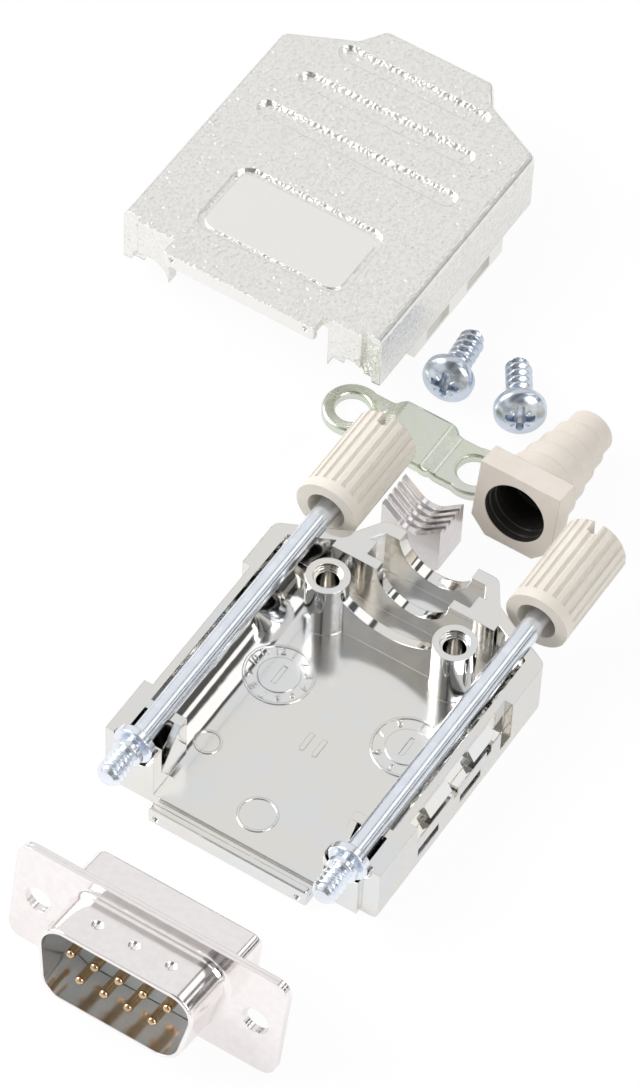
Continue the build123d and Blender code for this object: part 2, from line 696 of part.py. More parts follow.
def connector_lean():
    """Angle at which the connector rests on its flange's edge and its rear shell."""
    gap = (FLANGE_HEIGHT - REAR_HEIGHT) / 2
    return math.degrees(math.atan(gap / (flange_thick + REAR_REACH)))


def on_bench(piece):
    """Piece of the connector, leaned back as it rests on the bench."""
    lifted = Pos(0, 0, FLANGE_HEIGHT / 2) * piece
    return Pos(CONNECTOR_ACROSS, lip_front - CONNECTOR_AHEAD, 0) * Rot(-connector_lean(), 0, 0) * lifted


def d_face(grow):
    """D outline, wide side up, grown or shrunk all round."""
    slope = math.tan(math.radians(D_SLANT)) * D_HEIGHT / 2
    half = D_WIDTH / 2 - slope / 2
    top = half + slope
    bottom = half - slope
    high = D_HEIGHT / 2
    face = make_face(Polyline((-top, high), (top, high), (bottom, -high), (-bottom, -high), close=True))
    face = fillet(face.vertices(), radius=D_CORNER)
    if grow:
        face = offset(face, amount=grow)
    return face


def facing_front(sketch):
    """Sketch turned to face the mating side, drawn with X across and Y up."""
    return Rot(90, 0, 0) * sketch


def along_axis(sketch, start, end):
    """Sketch carried from one place to another along the connector's axis."""
    low, high = min(start, end), max(start, end)
    return Pos(0, high, 0) * extrude(facing_front(sketch), amount=high - low, dir=(0, -1, 0))


def flange_face(corner):
    """Flange outline with its two mounting holes."""
    face = RectangleRounded(FLANGE_WIDTH, FLANGE_HEIGHT, corner)
    for x in (-half_pitch, half_pitch):
        face -= Pos(x, 0) * Circle(MOUNT_HOLE_RADIUS)
    return face


def connector_front_shell():
    """Drawn steel shell: the flange and the D collar round the pins, with dimples."""
    shell = along_axis(flange_face(FLANGE_CORNER), 0, SHEET)
    shell += along_axis(d_face(SHEET), -D_REACH, SHEET)
    front = shell.faces().filter_by(Axis.Y).sort_by(Axis.Y)[1]
    foot = max(front.inner_wires(), key=lambda wire: wire.length)
    shell = fillet(foot.edges(), radius=D_FOOT_ROUND)
    shell -= along_axis(d_face(0), -D_REACH - SHEET, 2 * SHEET)
    rim = shell.faces().sort_by(Axis.Y)[0].outer_wire().edges()
    shell = fillet(rim, radius=SHEET / 2)
    high = D_HEIGHT / 2 + SHEET
    y = -D_REACH / 2
    for side in (1, -1):
        for index in range(3 if side > 0 else 2):
            count = 3 if side > 0 else 2
            x = (index - (count - 1) / 2) * DIMPLE_PITCH
            z = side * (high + DIMPLE_RADIUS - DIMPLE_DEPTH)
            shell -= Pos(x, y, z) * Sphere(DIMPLE_RADIUS)
    return on_bench(shell)


def connector_rear_shell():
    """Drawn steel shell behind the flange that holds the insulators."""
    box = RectangleRounded(REAR_WIDTH, REAR_HEIGHT, REAR_CORNER)
    inner = RectangleRounded(REAR_WIDTH - 2 * SHEET, REAR_HEIGHT - 2 * SHEET, REAR_CORNER - SHEET)
    back = flange_thick + REAR_REACH
    shell = along_axis(flange_face(FLANGE_CORNER), SHEET, flange_thick)
    shell += along_axis(box, SHEET, back)
    rim = shell.faces().sort_by(Axis.Y)[-1].outer_wire().edges()
    shell = fillet(rim, radius=SHEET)
    return on_bench(shell - along_axis(inner, 0, 2 * back))


def pin_places():
    """Place of each pin across and up, upper row first."""
    places = []
    for count, height in ((UPPER_PINS, PIN_ROW_GAP / 2), (LOWER_PINS, -PIN_ROW_GAP / 2)):
        for index in range(count):
            places.append(((index - (count - 1) / 2) * PIN_PITCH, height))
    return places


def pin_holes():
    """Bores that seat the pins' shanks in both insulators."""
    return [
        Pos(x, flange_thick + REAR_REACH, z)
        * Rot(90, 0, 0)
        * Cylinder(PIN_SHANK_RADIUS, 4 * REAR_REACH)
        for x, z in pin_places()
    ]


def front_insulator():
    """Moulded insulator that fills the D collar up to its face."""
    block = along_axis(d_face(-INSULATOR_FIT), -INSULATOR_FACE, SHEET)
    inner = (REAR_WIDTH - 2 * SHEET - 2 * INSULATOR_FIT, REAR_HEIGHT - 2 * SHEET - 2 * INSULATOR_FIT)
    seat = RectangleRounded(*inner, REAR_CORNER - SHEET)
    block += along_axis(seat, SHEET, flange_thick + REAR_REACH / 2)
    return on_bench(block - pin_holes())


def rear_insulator():
    """Moulded insulator that carries the solder cups behind the front one."""
    inner = (REAR_WIDTH - 2 * SHEET - 2 * INSULATOR_FIT, REAR_HEIGHT - 2 * SHEET - 2 * INSULATOR_FIT)
    seat = RectangleRounded(*inner, REAR_CORNER - SHEET)
    start = flange_thick + REAR_REACH / 2
    block = along_axis(seat, start, flange_thick + REAR_REACH)
    slim = [side - 2 * INSULATOR_BACK for side in inner]
    slim = RectangleRounded(*slim, REAR_CORNER / 2)
    block += along_axis(slim, start, flange_thick + REAR_REACH + INSULATOR_BACK)
    return on_bench(block - pin_holes())


def contact_pin(x, z):
    """Contact with a round-nosed pin in front and an open solder cup behind."""
    shank_front = -INSULATOR_FACE
    tip = shank_front - PIN_REACH + INSULATOR_FACE
    cup_front = flange_thick + REAR_REACH + INSULATOR_BACK
    cup_back = cup_front + CUP_SHOULDER + CUP_LENGTH
    pin = rod_along_y(0, tip, shank_front, 0, PIN_RADIUS)
    pin = fillet(pin.edges().group_by(Axis.Y)[0], radius=0.9 * PIN_RADIUS)
    pin += rod_along_y(0, shank_front, cup_front, 0, PIN_SHANK_RADIUS)
    pin += rod_along_y(0, cup_front, cup_back, 0, CUP_RADIUS)
    pin -= rod_along_y(0, cup_front + CUP_SHOULDER, cup_back + CUP_LENGTH, 0, CUP_BORE)
    opening = box_between(
        (-CUP_RADIUS, cup_front + 2 * CUP_SHOULDER, 0),
        (CUP_RADIUS, cup_back + CUP_LENGTH, CUP_RADIUS),
    )
    return on_bench(Pos(x, 0, z) * (pin - opening))


def pieces():
    """Every piece of the kit under its own name."""
    kit = {
        "lower_shell": lower_shell(),
        "upper_shell": upper_shell(),
        "left_thumbscrew_rod": thumbscrew_rod(-half_pitch),
        "left_thumbscrew_knob": thumbscrew_knob(-half_pitch),
        "right_thumbscrew_rod": thumbscrew_rod(half_pitch),
        "right_thumbscrew_knob": thumbscrew_knob(half_pitch),
        "clamp_plate": clamp_plate(),
        "clamp_insert": clamp_insert(),
        "cable_bushing": cable_bushing(),
        "connector_front_shell": connector_front_shell(),
        "connector_rear_shell": connector_rear_shell(),
        "front_insulator": front_insulator(),
        "rear_insulator": rear_insulator(),
    }
    for index, name in enumerate(("left_clamp_screw", "right_clamp_screw")):
        y = knob_end + CLAMP_SCREWS_BEHIND[index]
        kit[name] = clamp_screw(CLAMP_SCREWS_ACROSS[index], y, CLAMP_SCREW_TURNS[index])
    for number, (x, z) in enumerate(pin_places(), start=1):
        kit[f"contact_pin_{number}"] = contact_pin(x, z)
    return kit


os.makedirs("parts", exist_ok=True)
for name, shape in pieces().items():
    export_step(shape, f"parts/{name}.step")
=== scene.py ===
"""Looks of an open hood kit for a nine-way D-sub connector, laid out on a pale bench.

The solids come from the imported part. This script gives each of them its finish, and adds what
the solids keep plain: the rolled threads of the thumbscrews and of the tapping screws, the cross
recesses and the numerals of the mould dials.
Lengths are in metres. X runs across the hood, Y towards the cable and Z up from the bench.
"""
from __future__ import annotations

import json
import logging
import math
from dataclasses import dataclass
from enum import Enum
from typing import Sequence

import bpy
import numpy as np
from mathutils import Matrix, Vector

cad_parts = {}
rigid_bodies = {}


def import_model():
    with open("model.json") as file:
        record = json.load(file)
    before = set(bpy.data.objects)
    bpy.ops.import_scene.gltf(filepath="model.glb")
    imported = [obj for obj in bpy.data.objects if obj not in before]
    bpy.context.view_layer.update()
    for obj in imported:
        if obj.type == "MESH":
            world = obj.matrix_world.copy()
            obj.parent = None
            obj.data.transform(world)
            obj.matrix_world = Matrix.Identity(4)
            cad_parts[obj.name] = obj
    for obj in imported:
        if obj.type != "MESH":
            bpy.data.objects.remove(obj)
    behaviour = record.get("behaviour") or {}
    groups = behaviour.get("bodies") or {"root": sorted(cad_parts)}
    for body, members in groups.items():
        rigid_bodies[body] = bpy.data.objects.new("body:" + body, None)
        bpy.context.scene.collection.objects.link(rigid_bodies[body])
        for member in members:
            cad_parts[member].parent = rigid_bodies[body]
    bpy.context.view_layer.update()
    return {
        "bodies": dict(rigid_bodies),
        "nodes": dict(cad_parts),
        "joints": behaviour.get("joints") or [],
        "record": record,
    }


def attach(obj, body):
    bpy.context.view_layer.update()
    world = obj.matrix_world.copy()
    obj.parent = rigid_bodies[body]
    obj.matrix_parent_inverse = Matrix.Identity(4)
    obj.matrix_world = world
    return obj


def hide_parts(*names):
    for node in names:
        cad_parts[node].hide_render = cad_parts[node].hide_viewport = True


LOG = logging.getLogger("hood_kit")
MM = 0.001
Colour = tuple[float, float, float]
Input = "float | tuple | Value | bpy.types.NodeSocket"


class Side(Enum):
    """Which of the two thumbscrews a piece belongs to."""

    LEFT = -1
    RIGHT = 1

    @property
    def word(self) -> str:
        """Name of the side as the pieces carry it."""
        return self.name.lower()


class Region(Enum):
    """How the surface of the cover is left where it isn't pebbled."""

    SATIN = "satin"
    BRIGHT = "bright"


# Shader graph


@dataclass
class Value:
    """Number that runs through a shader graph; its operators add Math nodes."""

    graph: "Graph"
    socket: bpy.types.NodeSocket

    def _math(self, operation: str, *values: Input) -> "Value":
        """Math node of one operation.

        Args:
            operation: Blender's name for the operation.
            values: the numbers or sockets that it takes, in order.

        Returns:
            The node's result.
        """
        node = self.graph.node("ShaderNodeMath", {"operation": operation}, dict(enumerate(values)))
        return Value(self.graph, node.outputs[0])

    def __add__(self, other: Input) -> "Value":
        """Sum."""
        return self._math("ADD", self, other)

    def __radd__(self, other: Input) -> "Value":
        """Sum with a number on the left."""
        return self._math("ADD", other, self)

    def __sub__(self, other: Input) -> "Value":
        """Difference."""
        return self._math("SUBTRACT", self, other)

    def __rsub__(self, other: Input) -> "Value":
        """Difference from a number on the left."""
        return self._math("SUBTRACT", other, self)

    def __mul__(self, other: Input) -> "Value":
        """Product."""
        return self._math("MULTIPLY", self, other)

    def __rmul__(self, other: Input) -> "Value":
        """Product with a number on the left."""
        return self._math("MULTIPLY", other, self)

    def __abs__(self) -> "Value":
        """Size without its sign."""
        return self._math("ABSOLUTE", self)

    def above(self, other: Input) -> "Value":
        """Larger of two numbers."""
        return self._math("MAXIMUM", self, other)

    def root(self) -> "Value":
        """Square root."""
        return self._math("SQRT", self)

    def lean(self, other: Input) -> "Value":
        """Angle in degrees whose tangent is this number over another."""
        return self._math("ARCTAN2", self, other) * math.degrees(1.0)

    def band(self, low: float, high: float, soft: float) -> "Value":
        """Mask of a range with soft ends.

        Args:
            low: where the range starts.
            high: where it ends.
            soft: width of each end.

        Returns:
            1 between low and high and 0 beyond the soft ends.
        """
        return self.rise(low - soft, low) * self.rise(high + soft, high)

    def rise(self, low: float, high: float) -> "Value":
        """Smooth step.

        Args:
            low: where the step starts, at 0.
            high: where the step ends, at 1. It may lie below low.

        Returns:
            0 before low, 1 after high and a smooth curve between.
        """
        flip = low > high
        first, last = (high, low) if flip else (low, high)
        node = self.graph.node(
            "ShaderNodeMapRange",
            {"interpolation_type": "SMOOTHSTEP"},
            {
                "Value": self,
                "From Min": first,
                "From Max": last,
                "To Min": float(flip),
                "To Max": float(not flip),
            },
        )
        return Value(self.graph, node.outputs[0])


class Graph:
    """Node tree of a material or of the world, built by one method that adds nodes."""

    def __init__(self, owner: bpy.types.Material | bpy.types.World) -> None:
        """Empty node tree.

        Args:
            owner: the material or world that it belongs to.
        """
        owner.use_nodes = True
        self.tree = owner.node_tree
        self.tree.nodes.clear()

    def node(self, kind: str, settings: dict | None = None, inputs: dict | None = None) -> bpy.types.Node:
        """Add a node.

        Args:
            kind: Blender's type name of the node.
            settings: properties of the node, set before its sockets.
            inputs: numbers, colours or links for its sockets, by name or place.

        Returns:
            The node.
        """
        made = self.tree.nodes.new(kind)
        for key, value in (settings or {}).items():
            setattr(made, key, value)
        for key, value in (inputs or {}).items():
            socket = made.inputs[key]
            if isinstance(value, Value):
                value = value.socket
            if isinstance(value, bpy.types.NodeSocket):
                self.tree.links.new(value, socket)
            elif isinstance(value, tuple) and len(value) == 3 and socket.type == "RGBA":
                socket.default_value = (*value, 1.0)
            else:
                socket.default_value = value
        return made

    def place(self) -> bpy.types.NodeSocket:
        """Object coordinates, in metres."""
        return self.node("ShaderNodeTexCoord").outputs["Object"]

    def axes(self, vector: bpy.types.NodeSocket) -> tuple[Value, Value, Value]:
        """Split a vector.

        Args:
            vector: the socket that carries it.

        Returns:
            Its three numbers.
        """
        split = self.node("ShaderNodeSeparateXYZ", inputs={0: vector})
        return tuple(Value(self, socket) for socket in split.outputs)

    def facing(self) -> tuple[Value, Value, Value]:
        """Direction that the surface faces, across, along and up."""
        return self.axes(self.node("ShaderNodeTexCoord").outputs["Normal"])

    def stretched(self, scale: Colour, turn: Colour = (0.0, 0.0, 0.0)) -> bpy.types.NodeSocket:
        """Object coordinates, turned and scaled by a Mapping node.

        Args:
            scale: scale along each axis.
            turn: turn about each axis in radians.

        Returns:
            The mapped vector.
        """
        settings = {"Vector": self.place(), "Rotation": turn, "Scale": scale}
        return self.node("ShaderNodeMapping", inputs=settings).outputs[0]

    def noise(
        self, cell: float, detail: float = 2.0, rough: float = 0.5, warp: float = 0.0, vector: Input = None
    ) -> Value:
        """Cloudy noise between about 0.2 and 0.8.

        Args:
            cell: size of its blotches in metres.
            detail: how many finer layers it carries.
            rough: strength of the finer layers.
            warp: how much it is distorted.
            vector: coordinates, or the object's own.

        Returns:
            The noise.
        """
        made = self.node(
            "ShaderNodeTexNoise",
            {"noise_dimensions": "3D"},
            {
                "Vector": vector or self.place(),
                "Scale": 1 / cell,
                "Detail": detail,
                "Roughness": rough,
                "Distortion": warp,
            },
        )
        return Value(self, made.outputs[0])

    def pebbles(self, cell: float, soft: float = 0.6) -> Value:
        """Distance to the nearest of scattered points, which looks like packed pebbles.

        Args:
            cell: size of a pebble in metres.
            soft: how softly the pebbles meet.

        Returns:
            0 in the middle of a pebble, rising towards its edge.
        """
        made = self.node(
            "ShaderNodeTexVoronoi",
            {"feature": "SMOOTH_F1"},
            {"Vector": self.place(), "Scale": 1 / cell, "Smoothness": soft},
        )
        return Value(self, made.outputs["Distance"])

    def blend(self, factor: Input, first: Input, second: Input) -> bpy.types.NodeSocket:
        """Mix two colours.

        Args:
            factor: 0 for the first, 1 for the second.
            first: colour or socket.
            second: colour or socket.

        Returns:
            The mixed colour.
        """
        made = self.node("ShaderNodeMix", {"data_type": "RGBA"}, {0: factor, 6: first, 7: second})
        return made.outputs[2]


@dataclass(frozen=True)
class Coat:
    """What a finish gives the surface shader.

    Height is in units of `depth`, which is in metres.
    """

    colour: Input
    rough: Input
    height: Value | None = None
    depth: float = 0.0


@dataclass(frozen=True)
class Finish:
    name: str
    tint: Colour
    rough: float
    metal: float = 1.0
    edge: float = 0.12 * MM

    def paint(self, graph: Graph) -> Coat:
        """Plain coat with faint blotches, for kinds that add nothing of their own.

        Args:
            graph: graph of the material.

        Returns:
            The coat.
        """
        cloud = graph.noise(4 * MM, detail=3)
        return Coat(self.shade(graph, cloud, 0.06), cloud * 0.08 + (self.rough - 0.04))

    def shade(self, graph: Graph, mask: Value, depth: float) -> bpy.types.NodeSocket:
        """Tint that darkens a little where a mask is high.

        Args:
            graph: graph of the material.
            mask: mask from 0 to 1.
            depth: share of the tint that is lost at 1.

        Returns:
            The shaded colour.
        """
        darker = tuple(part * (1 - depth) for part in self.tint)
        return graph.blend(mask.rise(0.25, 0.75), self.tint, darker)

    def material(self) -> bpy.types.Material:
        """Build the material.

        Returns:
            A material with one surface shader, its edges eased by a Bevel node.
        """
        made = bpy.data.materials.new(self.name)
        graph = Graph(made)
        coat = self.paint(graph)
        eased = graph.node("ShaderNodeBevel", {"samples": 6}, {"Radius": self.edge}).outputs[0]
        if coat.height is not None:
            eased = graph.node(
                "ShaderNodeBump", inputs={"Distance": coat.depth, "Height": coat.height, "Normal": eased}
            ).outputs[0]
        surface = graph.node(
            "ShaderNodeBsdfPrincipled",
            inputs={
                "Base Color": coat.colour,
                "Metallic": self.metal,
                "Roughness": coat.rough,
                "Normal": eased,
            },
        )
        graph.node("ShaderNodeOutputMaterial", inputs={"Surface": surface.outputs[0]})
        return made


@dataclass(frozen=True)
class GrainedNickel(Finish):
    """Satin nickel plate on a casting with a pebbled outside and smooth inner faces."""

    grain: float = 0.4 * MM
    depth: float = 0.15 * MM
    origin: tuple[float, float] = (-0.0347, 0.0551)
    parting: float = 2.4 * MM
    top: float = 9.8 * MM
    label_middle: float = 8.0 * MM
    label_half: tuple[float, float] = (8.35 * MM, 4.15 * MM)

    def region(self, graph: Graph, kind: Region) -> Value:
        """Mask of one region of the cover.

        Args:
            graph: graph of the material.
            kind: the label's satin panel, or the bright lip, rails and inside.

        Returns:
            1 in the region and 0 outside it.
        """
        x, y, z = graph.axes(graph.place())
        up = graph.facing()[2]
        x = abs(x - self.origin[0])
        y = y - self.origin[1]
        soft = 0.25 * MM
        half_x, half_y = self.label_half
        satin = x.rise(half_x + soft, half_x) * abs(y - self.label_middle).rise(half_y + soft, half_y)
        satin = satin * z.rise(self.top - 0.5 * MM, self.top - 0.3 * MM) * up.rise(0.6, 0.9)
        if kind is Region.SATIN:
            return satin
        lip = y.rise(-0.9 * MM, -1.1 * MM) * up.rise(0.75, 0.45)
        rail = z.rise(self.parting + 0.15 * MM, self.parting)
        inside = up.rise(-0.3, -0.7)
        return lip.above(rail).above(inside)

    def groove_wall(self, graph: Graph) -> Value:
        """Mask of the sloping walls of the grips and the label's groove.

        Args:
            graph: graph of the material.

        Returns:
            1 on the slopes near the top and 0 elsewhere.
        """
        height = graph.axes(graph.place())[2]
        up = graph.facing()[2]
        return height.rise(self.top - 0.7 * MM, self.top - 0.6 * MM) * up.rise(0.98, 0.88)

    def paint(self, graph: Graph) -> Coat:
        """Pebbled bump outside, finer on the label's panel, none on lip, rails and inside.

        Args:
            graph: graph of the material.

        Returns:
            The coat.
        """
        satin = self.region(graph, Region.SATIN)
        bright = self.region(graph, Region.BRIGHT)
        grained = 1.0 - satin.above(bright)
        worms = graph.noise(self.grain, detail=1.5, rough=0.45, warp=0.6)
        stones = graph.pebbles(1.25 * self.grain)
        coarse = worms * 0.75 - stones * 0.35
        fine = graph.noise(0.16 * MM, detail=1.0)
        calm = 1.0 - self.groove_wall(graph) * 0.9
        height = coarse * grained * calm + fine * (0.12 * satin + 0.015)
        # painted shade: the hollows of the pebble grain are darkened a little in colour
        valley_shade = worms.rise(0.55, 0.35) * grained
        colour = graph.blend(valley_shade, self.tint, tuple(0.94 * part for part in self.tint))
        rough = grained * 0.02 + satin * 0.16 + (self.rough - 0.06)
        return Coat(colour, rough, height, self.depth)


@dataclass(frozen=True)
class PolishedNickel(Finish):
    """Bright nickel plate on a smooth casting, with a satin floor and grained outer walls."""

    floor: float = 1.4 * MM
    half_width: float = 16.0 * MM
    wave: float = 0.02 * MM

    def paint(self, graph: Graph) -> Coat:
        """Wavy mirror inside, brushed satin on the floor, pebbled on the outer walls.

        Args:
            graph: graph of the material.

        Returns:
            The coat.
        """
        x, y, z = graph.axes(graph.place())
        up = graph.facing()[2]
        flat = up.rise(0.985, 0.998) * z.rise(self.floor + 0.4 * MM, self.floor + 0.25 * MM)
        outer = abs(x).rise(self.half_width - 0.15 * MM, self.half_width - 0.03 * MM)
        outer = outer.above(up.rise(-0.5, -0.8))
        brushed = graph.noise(
            1.0, detail=2.0, vector=graph.stretched((380.0, 5200.0, 600.0), (0.0, 0.0, math.radians(25)))
        )
        waves = graph.noise(2.6 * MM, detail=2.0, rough=0.4)
        grain = graph.noise(0.45 * MM, detail=1.5)
        height = waves * (1.0 - outer) * (1.0 - flat * 0.6) + brushed * flat * 0.05 + grain * outer * 2.2
        smoke = graph.noise(7 * MM, detail=3.0, rough=0.6)
        cool = tuple(part * factor for part, factor in zip(self.tint, (0.96, 0.99, 1.05)))
        colour = graph.blend(smoke.rise(0.4, 0.65), self.tint, cool)
        rough = flat * 0.06 + outer * 0.22 + brushed * flat * 0.08 + waves * 0.04 + self.rough
        return Coat(colour, rough, height, self.wave)


@dataclass(frozen=True)
class TurnedSteel(Finish):
    """Bluish zinc plate on turned or rolled steel."""

    line: float = 0.12 * MM

    def paint(self, graph: Graph) -> Coat:
        """Faint turning lines round the axis and pale blotches of zinc.

        Args:
            graph: graph of the material.

        Returns:
            The coat.
        """
        lines = graph.noise(1.0, detail=1.0, vector=graph.stretched((300.0, 1 / self.line, 300.0)))
        bloom = graph.noise(1.6 * MM, detail=3.0)
        pale = tuple(min(1.0, 1.08 * part) for part in self.tint)
        colour = graph.blend(bloom.rise(0.4, 0.7), self.tint, pale)
        return Coat(colour, lines * 0.08 + bloom * 0.08 + (self.rough - 0.08), lines, 0.004 * MM)


@dataclass(frozen=True)
class MouldedPlastic(Finish):
    """Satin moulded plastic with a faint eggshell texture and paler rubbed spots."""

    metal: float = 0.0
    grain: float = 0.25 * MM
    depth: float = 0.008 * MM
    rub: float = 0.1

    def paint(self, graph: Graph) -> Coat:
        """Eggshell bump with slow changes of tone.

        Args:
            graph: graph of the material.

        Returns:
            The coat.
        """
        shell = graph.noise(self.grain, detail=2.0)
        tone = graph.noise(3.5 * MM, detail=3.0, rough=0.6)
        pale = tuple(part + (1 - part) * self.rub for part in self.tint)
        colour = graph.blend(tone.rise(0.35, 0.7), self.tint, pale)
        return Coat(colour, tone * 0.12 + (self.rough - 0.06), shell, self.depth)


@dataclass(frozen=True)
class BoredPlastic(MouldedPlastic):
    """Moulded plastic of the bushing, whose bore is painted near black as shade, and glossy.

    The axis runs from the middle of the mouth with Y and leans down by `lean` degrees. The wall
    between the outside and the bore is told apart by the line R(t) = R0 - slope (t - flange) along
    the axis, which lies inside the wall of every step.
    """

    mouth: tuple[float, float, float] = (2.75 * MM, 47.318 * MM, 5.115 * MM)
    lean: float = 9.535
    flange: float = 2.9 * MM
    wall_radius: float = 3.95 * MM
    slope: float = 0.4 / 2.56
    # painted shade: near-black colour in the bore, standing in for the shade deep inside it
    bore_tint: Colour = (0.035, 0.033, 0.03)

    def bore(self, graph: Graph) -> Value:
        """Mask of the bore.

        Args:
            graph: graph of the material.

        Returns:
            1 inside the wall and behind the mouth, and 0 elsewhere.
        """
        x, y, z = graph.axes(graph.place())
        cosine, sine = math.cos(math.radians(self.lean)), math.sin(math.radians(self.lean))
        x = x - self.mouth[0]
        y = y - self.mouth[1]
        z = z - self.mouth[2]
        along = y * cosine - z * sine
        over = y * sine + z * cosine
        radius = (x * x + over * over).root()
        wall = self.wall_radius - (along - self.flange).above(0.0) * self.slope
        return (wall - radius).rise(-0.02 * MM, 0.02 * MM) * along.rise(0.02 * MM, 0.15 * MM)

    def paint(self, graph: Graph) -> Coat:
        """Moulded plastic, with painted shade that darkens the bore.

        Args:
            graph: graph of the material.

        Returns:
            The coat.
        """
        plain = super().paint(graph)
        bore = self.bore(graph)
        # painted shade: the bore's mask blends the colour to near black
        colour = graph.blend(bore, plain.colour, self.bore_tint)
        return Coat(colour, plain.rough * (1.0 - bore * 0.6), plain.height, plain.depth)


@dataclass(frozen=True)
class TinPlate(Finish):
    """Bright tin plate on drawn sheet steel, barely warm, with faint drawing lines."""

    def paint(self, graph: Graph) -> Coat:
        """Soft waves from the drawing tool and a faint bloom.

        Args:
            graph: graph of the material.

        Returns:
            The coat.
        """
        waves = graph.noise(3.2 * MM, detail=2.0)
        bloom = graph.noise(0.9 * MM, detail=3.0, rough=0.6)
        colour = self.shade(graph, bloom, 0.05)
        return Coat(colour, bloom * 0.1 + (self.rough - 0.05), waves, 0.012 * MM)


@dataclass(frozen=True)
class PressedPlate(Finish):
    """Bright plate on pressed steel, a little yellow, with satin drawing marks."""

    def paint(self, graph: Graph) -> Coat:
        """Streaks along the plate over soft waves.

        Args:
            graph: graph of the material.

        Returns:
            The coat.
        """
        streak = graph.noise(1.0, detail=2.0, vector=graph.stretched((250.0, 2600.0, 1500.0)))
        waves = graph.noise(2.2 * MM, detail=2.0)
        green = tuple(part * factor for part, factor in zip(self.tint, (0.97, 1.0, 0.94)))
        colour = graph.blend(waves.rise(0.4, 0.65), self.tint, green)
        return Coat(colour, streak * 0.14 + (self.rough - 0.06), waves + streak * 0.08, 0.03 * MM)


@dataclass(frozen=True)
class GoldFlash(Finish):
    """Thin gold on copper alloy, browner where it wears through."""

    def paint(self, graph: Graph) -> Coat:
        """Brown patches in the gold.

        Args:
            graph: graph of the material.

        Returns:
            The coat.
        """
        patch = graph.noise(0.9 * MM, detail=2.0)
        return Coat(self.shade(graph, patch, 0.25), patch * 0.1 + (self.rough - 0.04), patch, 0.01 * MM)


@dataclass(frozen=True)
class Palette:
    nickel_grained: Finish = GrainedNickel("nickel_grained", (0.90, 0.89, 0.86), 0.28)
    nickel_cast: Finish = PolishedNickel("nickel_cast", (0.82, 0.80, 0.76), 0.05)
    zinc_steel: Finish = TurnedSteel("zinc_steel", (0.82, 0.86, 0.93), 0.22)
    zinc_screw: Finish = TurnedSteel("zinc_screw", (0.62, 0.68, 0.77), 0.24, edge=0.05 * MM)
    beige_knob: Finish = MouldedPlastic("beige_knob", (0.71, 0.66, 0.585), 0.42)
    beige_bushing: Finish = BoredPlastic("beige_bushing", (0.67, 0.61, 0.54), 0.38)
    plated_plate: Finish = PressedPlate("plated_plate", (0.72, 0.74, 0.67), 0.26)
    nickel_insert: Finish = TinPlate("nickel_insert", (0.80, 0.77, 0.77), 0.24, edge=0.08 * MM)
    bright_tin: Finish = TinPlate("bright_tin", (0.96, 0.92, 0.91), 0.16, edge=0.08 * MM)
    grey_insulator: Finish = MouldedPlastic("grey_insulator", (0.56, 0.64, 0.66), 0.3, edge=0.06 * MM)
    gold_contact: Finish = GoldFlash("gold_contact", (0.72, 0.52, 0.32), 0.18, edge=0.03 * MM)


# Meshes from arrays


def lattice(name: str, points: np.ndarray, ring: bool = True, sharp: float = 40.0) -> bpy.types.Object:
    """Object from a grid of points, with its two ends closed when the grid runs round.

    Quad (i, j) joins the points i, i + 1 of the rows and j, j + 1 of the columns. Faces are turned
    outwards by the sign of the enclosed volume, the sum of a . (b x c) / 6 over the triangles.

    Args:
        name: name of the piece.
        points: array of rows by columns by 3, in metres.
        ring: True if the last column joins the first and both end rows are capped by a fan.
        sharp: angle in degrees from which an edge stays sharp.

    Returns:
        The new object, with smooth faces.
    """
    rows, columns, _ = points.shape
    index = np.arange(rows * columns).reshape(rows, columns)
    if ring:
        following = np.roll(index, -1, axis=1)
        corners = [index[:-1], following[:-1], following[1:], index[1:]]
        quads = np.stack(corners, axis=-1).reshape(-1, 4)
    else:
        corners = [index[:-1, :-1], index[:-1, 1:], index[1:, 1:], index[1:, :-1]]
        quads = np.stack(corners, axis=-1).reshape(-1, 4)
    vertices = points.reshape(-1, 3)
    caps = np.zeros((0, 3), int)
    if ring:
        centres = np.stack([points[0].mean(0), points[-1].mean(0)])
        low, high = rows * columns, rows * columns + 1
        first = np.stack([index[0], np.full(columns, low), np.roll(index[0], -1)], axis=-1)
        last = np.stack([index[-1], np.roll(index[-1], -1), np.full(columns, high)], axis=-1)
        caps = np.concatenate([first, last])
        vertices = np.concatenate([vertices, centres])
    halves = np.concatenate([quads[:, [0, 1, 2]], quads[:, [0, 2, 3]], caps])
    a, b, c = (vertices[halves[:, k]] for k in range(3))
    if ring and np.einsum("ij,ij->", a, np.cross(b, c)) < 0:
        quads, caps = quads[:, ::-1], caps[:, ::-1]
    return solid(name, vertices, [quads, caps], sharp)


def solid(
    name: str, vertices: np.ndarray, groups: Sequence[np.ndarray], sharp: float = 40.0
) -> bpy.types.Object:
    """Object from vertices and groups of faces that have the same number of corners.

    Args:
        name: name of the piece.
        vertices: array of points in metres.
        groups: arrays of faces, each of faces by corners.
        sharp: angle in degrees from which an edge stays sharp.

    Returns:
        The new object, linked to the scene.
    """
    mesh = bpy.data.meshes.new(name)
    corners = np.concatenate([group.reshape(-1) for group in groups if len(group)]).astype(np.int32)
    totals = np.concatenate([np.full(len(group), group.shape[1]) for group in groups if len(group)])
    starts = np.concatenate([[0], np.cumsum(totals)[:-1]]).astype(np.int32)
    mesh.vertices.add(len(vertices))
    mesh.vertices.foreach_set("co", np.asarray(vertices, np.float32).reshape(-1))
    mesh.loops.add(len(corners))
    mesh.loops.foreach_set("vertex_index", corners)
    mesh.polygons.add(len(starts))
    mesh.polygons.foreach_set("loop_start", starts)
    mesh.polygons.foreach_set("use_smooth", np.ones(len(starts), bool))
    mesh.update(calc_edges=True)
    mesh.validate()
    mesh.set_sharp_from_angle(angle=math.radians(sharp))
    made = bpy.data.objects.new(name, mesh)
    bpy.context.collection.objects.link(made)
    return made


